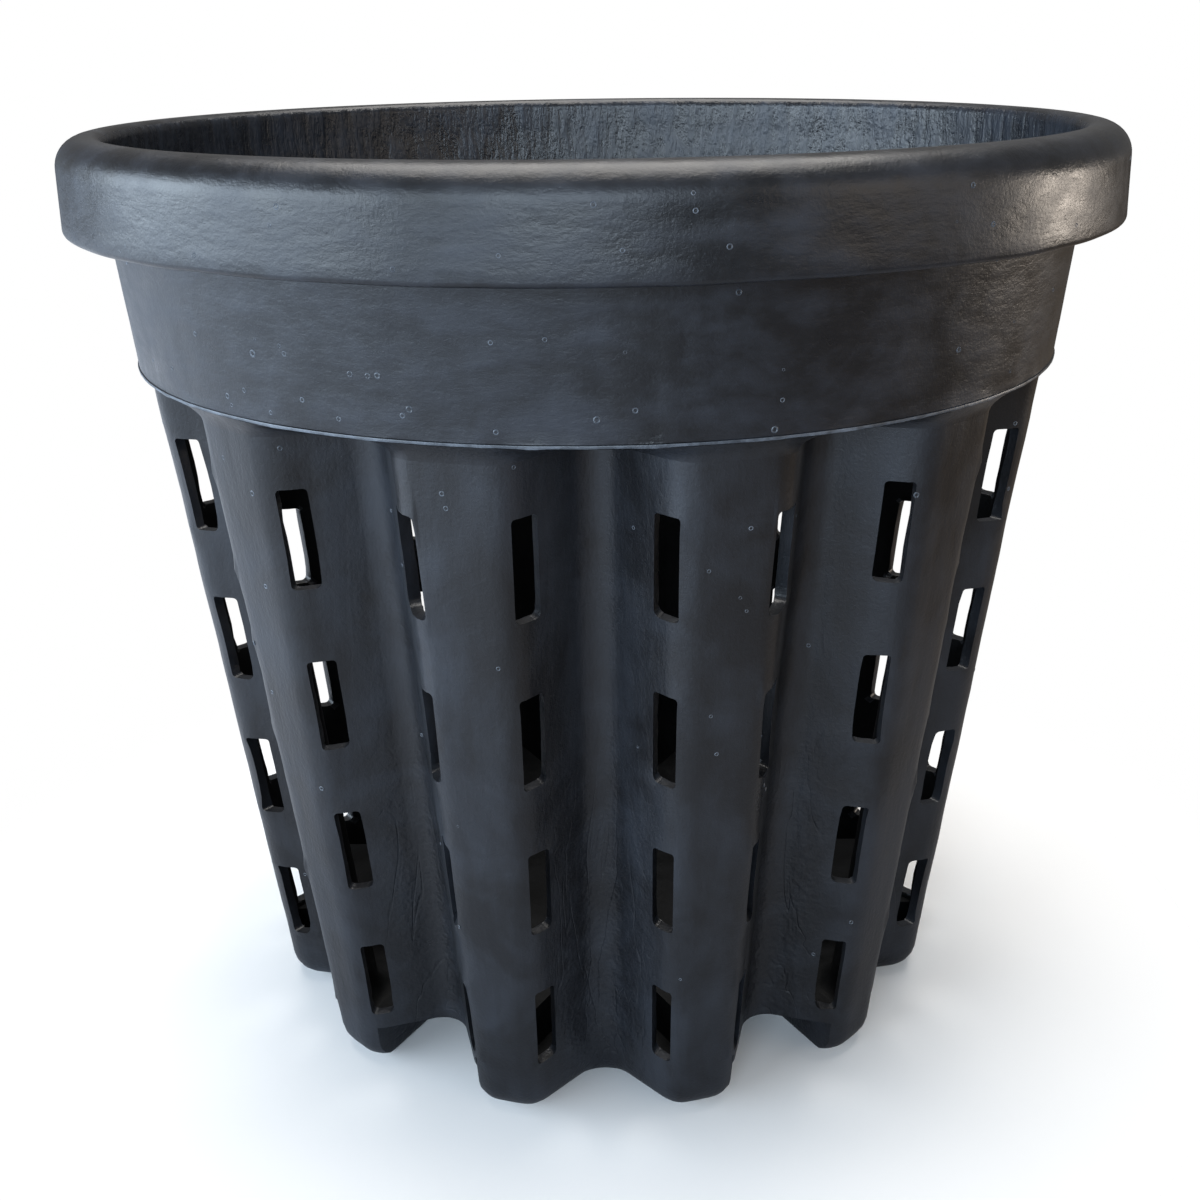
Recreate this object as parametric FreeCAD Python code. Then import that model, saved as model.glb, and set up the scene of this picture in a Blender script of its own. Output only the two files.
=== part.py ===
import FreeCAD, Part
import math
import os

# Orchid pot: a tapered round pot of moulded plastic with a hanging rim skirt, a plain collar, twelve upright
# lobes with slotted flanks, and a raised star-shaped floor between six hollow feet.
# Millimetres. +Z up, the origin at the centre of the pot on the surface that it stands on.
# The front of the pot is -Y, where a valley between two lobes faces.

# Counts
lobe_count = 12
lobes_per_foot = 2
foot_count = lobe_count // lobes_per_foot

# Heights above the surface that the pot stands on
rim_top_height = 134.6
shelf_bottom_height = 100.8
wall_bottom_height = 8.8

# The wall and the plates
wall_thickness = 1.6
rim_thickness = 1.8
floor_thickness = 1.8
foot_floor_thickness = 2.0

# The rim: how far under its top the collar ends and the skirt ends, the gap between the collar and the skirt,
# how far the skirt leans in above its lower edge, and the rounds
rim_seat_depth = 4.6
skirt_depth = 12.5
skirt_gap = 3.2
skirt_draft = 0.2
skirt_edge_round = 0.7
rim_outer_round = 4.0
rim_inner_round = 1.6

# The ledge between the lobes and the collar, and how much the collar widens above it
ledge_height = 2.5
ledge_width = 1.6
collar_spread = 2.9

# The lobes at the pot's foot and under the shelf: the radius of the crests, the depth of the valleys behind
# them, and the rounds. A flank's square direction makes the flank angle with the lobe's axis.
crest_foot_radius = 53.6
crest_shelf_radius = 65.6
valley_foot_depth = 9.36
valley_shelf_depth = 10.07
flank_angle = 62.0
shoulder_radius = 4.5
valley_radius = 4.0

# A shoulder's round takes at most this share of the room that a lobe has for it
shoulder_room_share = 0.9

# The slots of the lowest and the top row, the wall that is left below and above them, and how far up between
# the two rows each row starts. Widths are across the direction of the cut, and the cut makes the cut angle with
# the lobe's axis.
low_slot_margin = 0.9
low_slot_height = 12.7
low_slot_width = 3.19
top_slot_margin = 7.0
top_slot_height = 13.8
top_slot_width = 3.74
slot_cut_angle = 38.0
slot_row_shares = (0, 0.327, 0.659, 1)

# How far outside the end of the shoulder's round the slots lie, their corners, and how far their cuts reach
slot_foot_shift = -0.04
slot_shelf_shift = 0.24
slot_corner_radius = 0.5
slot_reach = 6.0

# The air channels, the feet between them and the drain holes. The round under a foot is this much smaller
# than the shoulder's, and its drain hole lies this far inside the valley.
channel_half_width = 9.0
foot_round_step = 0.5
floor_drain_radius = 6.0
foot_drain_radius = 2.5
foot_drain_setback = 8.24

# Cuts run past the faces that they open by this much
cut_overrun = 5.0

lobe_pitch = 360.0 / lobe_count
foot_pitch = 360.0 / foot_count
rim_seat_height = rim_top_height - rim_seat_depth
skirt_top_height = rim_top_height - rim_outer_round
skirt_bottom_height = rim_top_height - skirt_depth
collar_bottom_height = shelf_bottom_height + ledge_height
web_bottom_height = wall_bottom_height - floor_thickness
low_slot_bottom = wall_bottom_height + low_slot_margin
top_slot_bottom = shelf_bottom_height - top_slot_margin - top_slot_height
collar_bottom_radius = crest_shelf_radius + ledge_width
collar_top_radius = collar_bottom_radius + collar_spread
skirt_radius = collar_top_radius + skirt_gap + rim_thickness
foot_drain_distance = crest_foot_radius - valley_foot_depth - foot_drain_setback
outer_reach = skirt_radius + cut_overrun
pot_axis = FreeCAD.Vector(0, 0, 1)
centre = FreeCAD.Vector(0, 0, 0)


def point(across, out, height):
    """A point from the distances across and out along an axis of the pot that faces -Y."""
    return FreeCAD.Vector(across, -out, height)


def turned(shape, degrees):
    """A copy turned about the pot's axis."""
    copy = shape.copy()
    copy.rotate(centre, pot_axis, degrees)
    return copy


def grown(at_foot, at_shelf, height):
    """The value at a height of a size that grows evenly from the pot's foot to the shelf."""
    return at_foot + (at_shelf - at_foot) * height / shelf_bottom_height


def wire_of(edges):
    """One closed wire from edges in any order."""
    return Part.Wire(Part.__sortEdges__(edges))


def cone(bottom_radius, top_radius, low, high):
    """A cone on the pot's axis between two heights."""
    return Part.makeCone(bottom_radius, top_radius, high - low, point(0, 0, low), pot_axis)


def arc_point(middle, radius, angle, side, height):
    """A point on an arc round a middle, on one side of a lobe, at an angle from the lobe's axis."""
    across = middle[0] + radius * math.sin(angle)
    return point(side * across, middle[1] + radius * math.cos(angle), height)


def flank_distance(height):
    """How far from the pot's axis the plane of a flank passes: it touches the round at the valley's bottom."""
    crest = grown(crest_foot_radius, crest_shelf_radius, height)
    depth = grown(valley_foot_depth, valley_shelf_depth, height)
    half_angle = math.radians(flank_angle - lobe_pitch / 2)
    return (crest - depth + valley_radius) * math.cos(half_angle) - valley_radius


def shoulder_round(height):
    """The radius of the round between a crest and a flank."""
    crest = grown(crest_foot_radius, crest_shelf_radius, height)
    lean_share = math.cos(math.radians(flank_angle))
    widest = (flank_distance(height) - crest * lean_share) / (1 - lean_share)
    return min(shoulder_radius, widest * shoulder_room_share)


def shoulder_place(crest, flank, shoulder):
    """Where the shoulder's arc leaves the crest, as an angle from the lobe's axis, and the arc's middle.

    The arc touches the crest's circle and the flank's plane.
    """
    climb = math.sqrt((crest - shoulder) ** 2 - (flank - shoulder) ** 2)
    angle = math.radians(flank_angle) - math.atan2(climb, flank - shoulder)
    return angle, ((crest - shoulder) * math.sin(angle), (crest - shoulder) * math.cos(angle))


def lobe_edges(height, inset):
    """One lobe's outline at a height, from valley to valley, drawn in by an inset."""
    crest = grown(crest_foot_radius, crest_shelf_radius, height) - inset
    flank = flank_distance(height) - inset
    shoulder = shoulder_round(height) - inset
    valley = valley_radius + inset
    lean = math.radians(flank_angle)
    half_pitch = math.radians(lobe_pitch / 2)

    bend_angle, bend = shoulder_place(crest, flank, shoulder)

    # The valley's arc touches the flanks on both sides of the valley's axis
    valley_out = (flank + valley) / math.cos(lean - half_pitch)
    hollow = (valley_out * math.sin(half_pitch), valley_out * math.cos(half_pitch))
    axis = (0, 0)

    edges = []
    for side in (-1, 1):
        crest_middle = arc_point(axis, crest, bend_angle / 2, side, height)
        crest_end = arc_point(axis, crest, bend_angle, side, height)
        bend_middle = arc_point(bend, shoulder, (bend_angle + lean) / 2, side, height)
        flank_top = arc_point(bend, shoulder, lean, side, height)
        flank_end = arc_point(hollow, -valley, lean, side, height)
        hollow_middle = arc_point(hollow, -valley, (half_pitch + lean) / 2, side, height)
        valley_end = arc_point(hollow, -valley, half_pitch, side, height)
        edges.append(Part.Arc(point(0, crest, height), crest_middle, crest_end).toShape())
        edges.append(Part.Arc(crest_end, bend_middle, flank_top).toShape())
        edges.append(Part.makeLine(flank_top, flank_end))
        edges.append(Part.Arc(flank_end, hollow_middle, valley_end).toShape())
    return edges


def slot_offset(height):
    """How far from the lobe's axis a slot lies: by the end of the shoulder's round."""
    crest = grown(crest_foot_radius, crest_shelf_radius, height)
    shoulder = shoulder_round(height)
    bend = shoulder_place(crest, flank_distance(height), shoulder)[1]
    shift = grown(slot_foot_shift, slot_shelf_shift, height)
    return bend[0] + shoulder * math.sin(math.radians(flank_angle)) + shift


def pot_outline(height, inset):
    """The outline of all lobes at a height, drawn in by an inset."""
    edges = []
    for index in range(lobe_count):
        edges += [turned(edge, (index + 1 / 2) * lobe_pitch) for edge in lobe_edges(height, inset)]
    return wire_of(edges)


def wall_section(height):
    """The closed section of one lobe's wall at a height."""
    outside = lobe_edges(height, 0)
    inside = lobe_edges(height, wall_thickness)
    ends = []
    for side in (0, 1):
        outer_end = outside[side * len(outside) // 2 - 1].Vertexes[-1].Point
        inner_end = inside[side * len(inside) // 2 - 1].Vertexes[-1].Point
        ends.append(Part.makeLine(outer_end, inner_end))
    return wire_of(outside + inside + ends)


def slot_cutter(row_share, side):
    """The cutter of one slot: it follows the flank upward and cuts through it at the cut angle."""
    low = low_slot_bottom + (top_slot_bottom - low_slot_bottom) * row_share
    high = low + low_slot_height + (top_slot_height - low_slot_height) * row_share
    width = low_slot_width + (top_slot_width - low_slot_width) * row_share
    lean = math.radians(flank_angle)
    aim = math.radians(slot_cut_angle)
    sections = []
    for height in (low, high):
        offset = slot_offset(height)
        out = (flank_distance(height) - offset * math.sin(lean)) / math.cos(lean)
        corners = []
        for across, reach in ((-1, -1), (1, -1), (1, 1), (-1, 1)):
            step = across * width / 2
            away = reach * slot_reach
            corner_offset = offset + step * math.cos(aim) + away * math.sin(aim)
            corner_out = out - step * math.sin(aim) + away * math.cos(aim)
            corners.append(point(side * corner_offset, corner_out, height))
        sections.append(Part.makePolygon(corners + corners[:1]))
    cutter = Part.makeLoft(sections, True, True)
    through_edges = [edge for edge in cutter.Edges if edge.BoundBox.ZLength < slot_reach < edge.Length]
    return cutter.makeFillet(slot_corner_radius, through_edges)


def make_lobe():
    """One lobe's wall between the feet and the shelf, with the slots in both flanks."""
    wall = Part.makeLoft([wall_section(wall_bottom_height), wall_section(shelf_bottom_height)], True, True)
    cutters = [slot_cutter(row_share, side) for row_share in slot_row_shares for side in (-1, 1)]
    return wall.cut(cutters)


def make_shelf():
    """The ledge over the valleys: a cone outside, the lobes' inner outline inside."""
    plate = cone(crest_shelf_radius, collar_bottom_radius, shelf_bottom_height, collar_bottom_height)
    inside = Part.Face(pot_outline(shelf_bottom_height, wall_thickness))
    return plate.cut(inside.extrude(point(0, 0, collar_bottom_height - shelf_bottom_height)))


def make_collar():
    """The plain band between the shelf and the rim."""
    outside = cone(collar_bottom_radius, collar_top_radius, collar_bottom_height, rim_seat_height)
    inside = cone(collar_bottom_radius - wall_thickness, collar_top_radius - wall_thickness,
                  collar_bottom_height, rim_seat_height)
    return outside.cut(inside)


def place(radius, height):
    """A point of a section that is turned about the pot's axis."""
    return FreeCAD.Vector(radius, 0, height)


def quarter_round(start, middle_centre, radius, out, up, end):
    """A quarter round between two points, with its middle in the direction out, up from its centre."""
    slant = math.cos(math.radians(45))
    middle = middle_centre + place(out * radius * slant, up * radius * slant)
    return Part.Arc(start, middle, end).toShape()


def ring(section):
    """The solid that a closed section makes when it is turned about the pot's axis."""
    return Part.Face(Part.Wire(section)).revolve(centre, pot_axis, 360)


def make_rim():
    """The rounded roll on top of the collar, down to the start of the skirt."""
    inner = collar_top_radius - wall_thickness
    outer = skirt_radius - skirt_draft
    roof = rim_top_height - rim_thickness
    inner_centre = place(inner + rim_inner_round, rim_top_height - rim_inner_round)
    outer_centre = place(outer - rim_outer_round, skirt_top_height)
    inner_side = place(inner, inner_centre.z)
    inner_top = place(inner_centre.x, rim_top_height)
    outer_top = place(outer_centre.x, rim_top_height)
    outer_side = place(outer, skirt_top_height)
    hollow_side = place(outer - rim_thickness, skirt_top_height)
    hollow_top = place(outer_centre.x, roof)
    collar_top = place(collar_top_radius, roof)
    seat_outside = place(collar_top_radius, rim_seat_height)
    seat_inside = place(inner, rim_seat_height)
    return ring([
        Part.makeLine(seat_inside, inner_side),
        quarter_round(inner_side, inner_centre, rim_inner_round, -1, 1, inner_top),
        Part.makeLine(inner_top, outer_top),
        quarter_round(outer_top, outer_centre, rim_outer_round, 1, 1, outer_side),
        Part.makeLine(outer_side, hollow_side),
        quarter_round(hollow_side, outer_centre, rim_outer_round - rim_thickness, 1, 1, hollow_top),
        Part.makeLine(hollow_top, collar_top),
        Part.makeLine(collar_top, seat_outside),
        Part.makeLine(seat_outside, seat_inside),
    ])


def make_skirt():
    """The band that hangs from the roll outside the collar, with its lower outer edge rounded."""
    outer = skirt_radius - skirt_draft
    lip_centre = place(skirt_radius - skirt_edge_round, skirt_bottom_height + skirt_edge_round)
    top_outside = place(outer, skirt_top_height)
    top_inside = place(outer - rim_thickness, skirt_top_height)
    lip_side = place(skirt_radius, lip_centre.z)
    lip_bottom = place(lip_centre.x, skirt_bottom_height)
    bottom_inside = place(skirt_radius - rim_thickness, skirt_bottom_height)
    return ring([
        Part.makeLine(top_outside, lip_side),
        quarter_round(lip_side, lip_centre, skirt_edge_round, 1, -1, lip_bottom),
        Part.makeLine(lip_bottom, bottom_inside),
        Part.makeLine(bottom_inside, top_inside),
        Part.makeLine(top_inside, top_outside),
    ])


def make_floor_web():
    """The raised floor: arms over the air channels, joined at the middle, with the centre drain hole."""
    disc = Part.makeLoft([pot_outline(web_bottom_height, 0), pot_outline(wall_bottom_height, 0)], True, True)
    arms = []
    for index in range(foot_count):
        strip = Part.makeBox(2 * channel_half_width, outer_reach, wall_bottom_height,
                             point(-channel_half_width, outer_reach, 0))
        arms.append(turned(strip, (index + 1 / 2) * foot_pitch))
    star = arms[0].fuse(arms[1:]).removeSplitter()
    drain = Part.makeCylinder(floor_drain_radius, wall_bottom_height + cut_overrun, centre, pot_axis)
    return disc.common(star).cut(drain).removeSplitter()


def wedge(gap, low, high):
    """The space between two channels, from planes that stand a gap away from their axes."""
    half_pitch = math.radians(foot_pitch / 2)
    tip = gap / math.sin(half_pitch)
    far = tip + outer_reach
    spread = outer_reach * math.tan(half_pitch)
    corners = [point(0, tip, low), point(spread, far, low), point(-spread, far, low)]
    return Part.Face(Part.makePolygon(corners + corners[:1])).extrude(point(0, 0, high - low))


def round_bottomed(low, inset, edge_round):
    """The filled pot outline up to the wall, drawn in by an inset, with its lower edge rounded."""
    base = Part.makeLoft([pot_outline(low, inset), pot_outline(wall_bottom_height, inset)], True, True)
    halfway = (low + wall_bottom_height) / 2
    lower_edges = [edge for edge in base.Edges if edge.BoundBox.ZMax < halfway]
    return base.makeFillet(edge_round, lower_edges)


def make_foot():
    """One hollow foot under two lobes, open at the top, with rounded outer edges and a drain hole."""
    edge_round = shoulder_round(0) - foot_round_step
    base = round_bottomed(0, 0, edge_round)
    block = base.common(wedge(channel_half_width, 0, wall_bottom_height))
    room = round_bottomed(foot_floor_thickness, wall_thickness, edge_round - wall_thickness)
    hollow = room.common(wedge(channel_half_width + wall_thickness, foot_floor_thickness, wall_bottom_height))
    drain = Part.makeCylinder(foot_drain_radius, wall_bottom_height, point(0, foot_drain_distance, 0), pot_axis)
    return block.cut([hollow, drain])


def save(name, shape):
    """Write one sub-part and print its solids, volume and validity."""
    solid = shape.Solids[0] if len(shape.Solids) == 1 else shape
    solid.exportStep(os.path.join("parts", name + ".step"))
    print(name, len(shape.Solids), round(solid.Volume, 1), solid.isValid())


def main():
    os.makedirs("parts", exist_ok=True)
    save("rim", make_rim())
    save("skirt", make_skirt())
    save("collar", make_collar())
    save("shelf", make_shelf())
    lobe = make_lobe()
    for index in range(lobe_count):
        save(f"lobe_{index + 1:02d}", turned(lobe, (index + 1 / 2) * lobe_pitch))
    save("floor_web", make_floor_web())
    foot = make_foot()
    for index in range(foot_count):
        save(f"foot_{index + 1:02d}", turned(foot, index * foot_pitch))


main()
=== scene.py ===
import bpy
import bmesh
import math
import random
from mathutils import Matrix, Vector, noise
from mathutils.bvhtree import BVHTree


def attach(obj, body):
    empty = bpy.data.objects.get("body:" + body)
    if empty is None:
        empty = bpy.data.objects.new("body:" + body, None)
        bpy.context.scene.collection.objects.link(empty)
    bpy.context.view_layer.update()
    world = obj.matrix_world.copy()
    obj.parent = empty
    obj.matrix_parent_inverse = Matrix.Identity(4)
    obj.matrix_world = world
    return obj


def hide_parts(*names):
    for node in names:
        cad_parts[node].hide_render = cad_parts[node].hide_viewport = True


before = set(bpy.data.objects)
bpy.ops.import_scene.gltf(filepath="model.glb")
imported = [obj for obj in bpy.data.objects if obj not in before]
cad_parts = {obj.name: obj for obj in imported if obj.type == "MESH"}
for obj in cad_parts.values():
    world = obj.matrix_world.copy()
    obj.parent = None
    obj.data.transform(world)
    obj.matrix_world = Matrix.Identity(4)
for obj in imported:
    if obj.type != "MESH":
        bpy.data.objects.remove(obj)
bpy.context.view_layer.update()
print("frame loaded")

mm = 0.001

# The lobed wall in mm: sizes grow evenly from the ground to the shelf under the collar.
lobes = {
    "count": 12,
    "crestFoot": 53.6, "crestShelf": 65.6,
    "valleyFoot": 9.36, "valleyShelf": 10.07,
    "flankAngle": math.radians(62),
    "shoulder": 4.5, "valley": 4.0,
    "wall": 1.6,
    "bottom": 8.8, "channelTop": 7.0, "shelf": 100.8,
    "channelHalf": 9.0,
    "footRound": 4.0,
    "rowStep": 2.3,
    "ripple": 0.16, "rippleSize": 17.0,
    # strength, fineness and shift of the ripple's layers
    "rippleLayers": ((1, 1, (0, 0, 0)), (0.4, 2.7, (3, 1, 7)), (0.36, 4.6, (8, 2, 1))),
}
halfPitch = math.pi / lobes["count"]
footCount = lobes["count"] // 2
rowMargin = 0.01

# Slots: bottom, height and width of the lowest and the top row, and where the rows lie between them.
slots = {
    "rows": (0, 0.327, 0.659, 1),
    "bottom": (9.7, 80.0), "height": (12.7, 13.8), "width": (3.19, 3.74),
    "shift": (-0.04, 0.24), "cutAngle": math.radians(38),
    "cornerRound": 0.55, "worn": 0.95,
    "lip": 0.11, "lipMargin": 0.3, "tear": 0.3, "tearAside": 0.11, "tearSize": 1.6,
    "swell": 0.7, "swellSize": 3.5, "swellShare": 0.12, "swellReach": 3, "swellStations": 2,
    "slidFlanks": ((0, 1), (11, -1), (5, -1), (6, 1)), "slidReach": (0.7, 2.1), "leastShoulder": 0.3,
}

# How many faces lie between crest, shoulder, slot, flank and valley on half a lobe.
steps = {"crest": 3, "shoulder": 5, "slot": 4, "flank": 3, "valley": 7}
slotNear = steps["crest"] + steps["shoulder"]
slotFar = slotNear + steps["slot"]
lastStation = slotFar + steps["flank"] + steps["valley"]

# How many times the search for a slot's side halves the lobe's outline.
halvings = 36


def mixed(pair, share):
    return pair[0] + (pair[1] - pair[0]) * share


def aimed(angle):
    return Vector((math.sin(angle), math.cos(angle)))


def lobeForm(height, inset):
    # crest arc, shoulder arc, straight flank and valley arc, as in the moulding's section
    rise = height / lobes["shelf"]
    crest = mixed((lobes["crestFoot"], lobes["crestShelf"]), rise)
    depth = mixed((lobes["valleyFoot"], lobes["valleyShelf"]), rise)
    lean = lobes["flankAngle"]
    flank = (crest - depth + lobes["valley"]) * math.cos(lean - halfPitch) - lobes["valley"]
    crest, flank = crest - inset, flank - inset
    shoulder, valley = lobes["shoulder"] - inset, lobes["valley"] + inset
    climb = math.sqrt((crest - shoulder) ** 2 - (flank - shoulder) ** 2)
    bendAngle = lean - math.atan2(climb, flank - shoulder)
    bend = aimed(bendAngle) * (crest - shoulder)
    hollow = aimed(halfPitch) * (flank + valley) / math.cos(lean - halfPitch)
    flankTop = bend + aimed(lean) * shoulder
    flankEnd = hollow - aimed(lean) * valley
    ends = [crest * bendAngle]
    ends.append(ends[-1] + shoulder * (lean - bendAngle))
    ends.append(ends[-1] + (flankEnd - flankTop).length)
    ends.append(ends[-1] + valley * (lean - halfPitch))
    return {"crest": crest, "shoulder": shoulder, "valley": valley, "flank": flank, "bend": bend,
            "bendAngle": bendAngle, "hollow": hollow, "flankTop": flankTop, "flankEnd": flankEnd, "ends": ends}


def alongLobe(form, distance):
    crestEnd, shoulderEnd, flankEnd, valleyEnd = form["ends"]
    if distance < crestEnd:
        return aimed(distance / form["crest"]) * form["crest"]
    if distance < shoulderEnd:
        return form["bend"] + aimed(form["bendAngle"] + (distance - crestEnd) / form["shoulder"]) * form["shoulder"]
    if distance < flankEnd:
        return form["flankTop"].lerp(form["flankEnd"], (distance - shoulderEnd) / (flankEnd - shoulderEnd))
    angle = lobes["flankAngle"] - (min(distance, valleyEnd) - flankEnd) / form["valley"]
    return form["hollow"] - aimed(angle) * form["valley"]


def whereCrosses(form, middle, across, gap):
    # how far along the outline a plane beside the middle point cuts it
    low, high = 0.0, form["ends"][-1]
    for _ in range(halvings):
        half = (low + high) / 2
        if (alongLobe(form, half) - middle).dot(across) < gap:
            low = half
        else:
            high = half
    return (low + high) / 2


def halfLobe(height, inset, channelGap=None, slid=False):
    # points from the crest to the valley, with one on each side of the slots
    form = lobeForm(height, inset)
    outer = lobeForm(height, 0)
    rise = height / lobes["shelf"]
    lean = lobes["flankAngle"]
    offset = outer["flankTop"].x + mixed(slots["shift"], rise)
    middle = Vector((offset, (outer["flank"] - offset * math.sin(lean)) / math.cos(lean)))
    across = Vector((math.cos(slots["cutAngle"]), -math.sin(slots["cutAngle"])))
    row = min(max((height - slots["bottom"][0]) / (slots["bottom"][1] - slots["bottom"][0]), 0), 1)
    half = mixed(slots["width"], row) / 2
    near = whereCrosses(form, middle, across, -half)
    far = whereCrosses(form, middle, across, half)
    if slid:
        # flanks that lie almost along the mould's slides: the slides cut on into the shoulder
        slideSide = Vector((math.cos(halfPitch), math.sin(halfPitch)))
        near = whereCrosses(form, outer["flankTop"], slideSide, -mixed(slots["slidReach"], row ** 3))
        near = max(near, form["ends"][0] + slots["leastShoulder"])
    if channelGap is not None:
        channelSide = Vector((math.cos(halfPitch), -math.sin(halfPitch)))
        near = whereCrosses(form, Vector((0, 0)), channelSide, -channelGap)
    marks = [0, form["ends"][0], near, far, form["ends"][2], form["ends"][3]]
    counts = [steps["crest"], steps["shoulder"], steps["slot"], steps["flank"], steps["valley"]]
    points = [alongLobe(form, 0)]
    for start, end, count in zip(marks, marks[1:], counts):
        points += [alongLobe(form, start + (end - start) * (step + 1) / count) for step in range(count)]
    return points


def turnedPoint(across, out, height, angle):
    # across and out are seen along an axis of the pot that faces -Y, turned by the angle
    return Vector((across * math.cos(angle) + out * math.sin(angle), across * math.sin(angle) - out * math.cos(angle),
                   height)) * mm


def rippled(place):
    # a moulding's wall is never quite even
    spot = place / (lobes["rippleSize"] * mm)
    lift = sum(strength * noise.noise(spot * fineness + Vector(shift))
               for strength, fineness, shift in lobes["rippleLayers"])
    flat = Vector((place.x, place.y, 0))
    return place + flat.normalized() * (lift * lobes["ripple"] * mm)


def roundInset(height, radius):
    return radius - math.sqrt(max(radius ** 2 - (radius - min(height, radius)) ** 2, 0))


def lobeAxis(lobe):
    return (2 * lobe + 1) * halfPitch


def channelSideOf(lobe):
    # feet stand under lobes 11 and 0, 1 and 2, and so on
    return 1 if lobe % 2 == 0 else -1


def ringColumns():
    columns = []
    for lobe in range(lobes["count"]):
        columns += [(lobe, -1, station) for station in range(lastStation, 0, -1)]
        columns += [(lobe, 1, station) for station in range(lastStation)]
    return columns


def ringPoints(columns, height, inset, channelGap=None):
    plain = halfLobe(height, inset)
    slid = halfLobe(height, inset, slid=True)
    cut = halfLobe(height, inset, channelGap) if channelGap is not None else None
    points = []
    for lobe, side, station in columns:
        usual = slid if (lobe, side) in slots["slidFlanks"] else plain
        across, out = (cut if cut and side == channelSideOf(lobe) else usual)[station]
        points.append(rippled(turnedPoint(side * across, out, height, lobeAxis(lobe))))
    return points


def splitHeights(marks, step):
    heights = [marks[0]]
    for low, high in zip(marks, marks[1:]):
        count = max(1, round((high - low) / step))
        heights += [low + (high - low) * (index + 1) / count for index in range(count)]
    return heights


def newPiece(name, bm, materials, smoothAngle=34):
    for edge in bm.edges:
        edge.smooth = edge.calc_face_angle(math.pi) < math.radians(smoothAngle)
    for face in bm.faces:
        face.smooth = True
    mesh = bpy.data.meshes.new(name)
    bm.to_mesh(mesh)
    bm.free()
    piece = bpy.data.objects.new(name, mesh)
    bpy.context.scene.collection.objects.link(piece)
    for material in materials:
        mesh.materials.append(material)
    return piece


def faceOutward(bm):
    # a closed shell that faces inward has a negative volume
    bmesh.ops.recalc_face_normals(bm, faces=bm.faces[:])
    if bm.calc_volume(signed=True) < 0:
        bmesh.ops.reverse_faces(bm, faces=bm.faces[:])


def takePlace(piece, *nodes):
    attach(piece, "root")
    if nodes:
        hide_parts(*nodes)


def grownRings(bm, rows, columnLayer, rowLayer):
    # one ring of edges, drawn up row by row
    count = len(rows[0])
    bmesh.ops.create_circle(bm, segments=count, radius=1)
    bm.verts.ensure_lookup_table()
    for index, vert in enumerate(bm.verts):
        vert[columnLayer] = index
        vert.co = rows[0][index]
    edges = bm.edges[:]
    for rowIndex, row in enumerate(rows[1:], 1):
        made = bmesh.ops.extrude_edge_only(bm, edges=edges)["geom"]
        edges = [item for item in made if isinstance(item, bmesh.types.BMEdge)]
        for vert in made:
            if isinstance(vert, bmesh.types.BMVert):
                vert[rowLayer] = rowIndex
                vert.co = row[vert[columnLayer]]


def srgb(code):
    parts = [int(code[index:index + 2], 16) / 255 for index in (1, 3, 5)]
    return tuple(part / 12.92 if part <= 0.04045 else ((part + 0.055) / 1.055) ** 2.4 for part in parts) + (1,)


def addNode(tree, kind, settings=None, links=None):
    node = tree.nodes.new(kind)
    for key, value in (settings or {}).items():
        if key.startswith("in:"):
            name = key[3:]
            node.inputs[int(name) if name.isdigit() else name].default_value = value
        else:
            setattr(node, key, value)
    for name, source in (links or {}).items():
        tree.links.new(source, node.inputs[int(name) if name.isdigit() else name])
    return node


# Flow marks in mm: how far behind the crest and how low they show, and the size of their lines and peel.
flow = {"behind": (2.5, 6.5), "low": (62, 30), "lineMm": 11, "lineWidth": 0.012, "lineShare": 0.45,
        "peelMm": 1.1, "strength": 0.45, "depth": 0.0003}


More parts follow.
